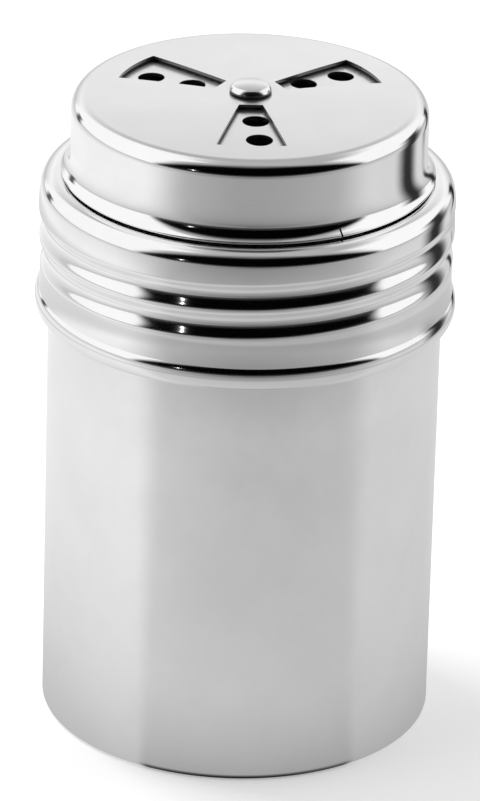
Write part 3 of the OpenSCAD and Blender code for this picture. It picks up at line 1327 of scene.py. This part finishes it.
    def build_floor(self) -> None:
        """Lays the table: white with the shaker's soft shadow, and painted grey with painted shade
        where the steel mirrors it.
        """
        floor = plate("studio_floor", (self.floor_size, self.floor_size))
        material, tree = new_material("white_studio_floor")
        path = add_node(tree, "ShaderNodeLightPath").outputs
        diffuse = add_node(tree, "ShaderNodeBsdfDiffuse", {"Color": linear("#F2F2F2")})
        lift = add_node(
            tree, "ShaderNodeEmission", {"Color": linear("#FFFFFF"), "Strength": self.floor_lift}
        )
        shown = add_node(tree, "ShaderNodeAddShader", {0: diffuse, 1: lift})
        # Reflections see the table as emission of painted light and shade.
        painted_shading = add_node(
            tree, "ShaderNodeEmission", {"Color": self.painted_floor_shade(tree), "Strength": self.gain}
        )
        mixed = add_node(
            tree, "ShaderNodeMixShader", {0: path["Is Glossy Ray"], 1: shown, 2: painted_shading}
        )
        add_node(tree, "ShaderNodeOutputMaterial", {"Surface": mixed})
        material.cycles.emission_sampling = "NONE"
        floor.data.materials.append(material)

    def painted_floor_shade(self, tree: Tree) -> Socket:
        """Painted light and shade of the table as the steel mirrors it: painted dark in front with
        painted shadows, lighter at the sides.

        Args:
            tree: the floor's node tree.

        Returns:
            The colour output.
        """
        place = add_node(tree, "ShaderNodeTexCoord").outputs["Object"]
        across = add_node(tree, "ShaderNodeSeparateXYZ", {"Vector": place}).outputs["X"]
        distance = add_node(tree, "ShaderNodeVectorMath", {0: place}, operation="LENGTH")
        distance = distance.outputs["Value"]
        nearness = add_node(
            tree, "ShaderNodeMath", {0: self.foot_r * MM, 1: distance}, operation="DIVIDE"
        )
        sideways = add_node(tree, "ShaderNodeMath", {0: across, 1: distance}, operation="DIVIDE")
        # Scaled darker to the right: a painted shadow of the shaker.
        lean = add_node(
            tree, "ShaderNodeMath", {0: sideways, 1: self.front_shadow_lean, 2: 1.0},
            operation="MULTIPLY_ADD",
        )
        front = add_node(tree, "ShaderNodeValToRGB", {"Fac": nearness}, self.front_painted_shade)
        tone = add_node(
            tree, "ShaderNodeVectorMath", {0: front, "Scale": lean}, operation="SCALE"
        ).outputs[0]
        squared = add_node(tree, "ShaderNodeMath", {0: sideways, 1: sideways}, operation="MULTIPLY")
        spread = add_node(
            tree, "ShaderNodeMath", {0: squared, 1: self.front_spread}, operation="MULTIPLY"
        )
        area = add_node(tree, "ShaderNodeMath", {0: distance, 1: distance}, operation="MULTIPLY")
        # Each patch paints its side of the table lighter, as painted light.
        for patch in self.patches:
            shade = add_node(tree, "ShaderNodeValToRGB", {"Fac": nearness}, patch.shades)
            away = (*off(ORIGIN, 1.0, patch.heading), 0.0)
            reach = add_node(
                tree, "ShaderNodeVectorMath", {0: place, 1: away}, operation="DOT_PRODUCT"
            ).outputs["Value"]
            beyond = add_node(
                tree, "ShaderNodeMath", {0: reach, 1: patch.offset * MM}, operation="SUBTRACT"
            )
            beyond = add_node(tree, "ShaderNodeMath", {0: beyond, 1: area}, operation="DIVIDE")
            over_line = add_node(
                tree, "ShaderNodeMapRange",
                {
                    "Value": beyond, "From Min": self.patch_blur, "From Max": -self.patch_blur,
                    "To Min": spread,
                },
                interpolation_type="SMOOTHSTEP",
            )
            blend = patch.side * self.back_blend * MM
            on_side = add_node(
                tree, "ShaderNodeMapRange", {"Value": across, "From Min": -blend, "From Max": blend}
            )
            mask = add_node(tree, "ShaderNodeMath", {0: over_line, 1: on_side}, operation="MULTIPLY")
            links = {0: mask, MIX_A: tone, MIX_B: shade}
            tone = add_node(tree, "ShaderNodeMix", links, data_type="RGBA").outputs[MIX_OUT]
        return tone

    def build(self) -> None:
        """Builds the world, the table, the flags and the lamps."""
        self.build_world()
        self.build_floor()
        for flag in self.flags:
            flag.build()
        for lamp in (self.spot, self.window):
            lamp.build(self.lamp_aim)


@dataclass
class Camera:
    """The camera, in front and above, with a long lens. Its angles are in radians."""

    place: Place = (0.0, -1031.27, 525.22)
    down: float = 0.43039         # below the level
    turn: float = 0.00032
    roll: float = 0.02764
    lens: float = 321.36
    sensor: float = 36.0          # along the image's long side
    clip: Pair = (0.05, 50.0)     # in metres

    def build(self) -> None:
        """Adds the camera and makes it the scene's."""
        data = bpy.data.cameras.new("studio_camera")
        data.lens = self.lens
        data.sensor_width = self.sensor
        data.clip_start, data.clip_end = self.clip
        camera = bpy.data.objects.new("studio_camera", data)
        bpy.context.scene.collection.objects.link(camera)
        turn = Matrix.Rotation(self.turn, 4, "Z")
        tilt = Matrix.Rotation(math.pi / 2 - self.down, 4, "X")
        roll = Matrix.Rotation(self.roll, 4, "Z")
        camera.matrix_world = Matrix.Translation([c * MM for c in self.place]) @ turn @ tilt @ roll
        bpy.context.scene.camera = camera


def main() -> None:
    """Builds the shaker, its studio and the camera."""
    logging.basicConfig(level=logging.INFO, format="%(name)s: %(message)s")
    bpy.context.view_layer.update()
    for assembly in (Can(), ScrewLid(), DialCap()):
        assembly.build()
    Studio().build()
    Camera().build()
    bpy.context.scene.view_settings.view_transform = "Standard"


if __name__ == "__main__":
    main()
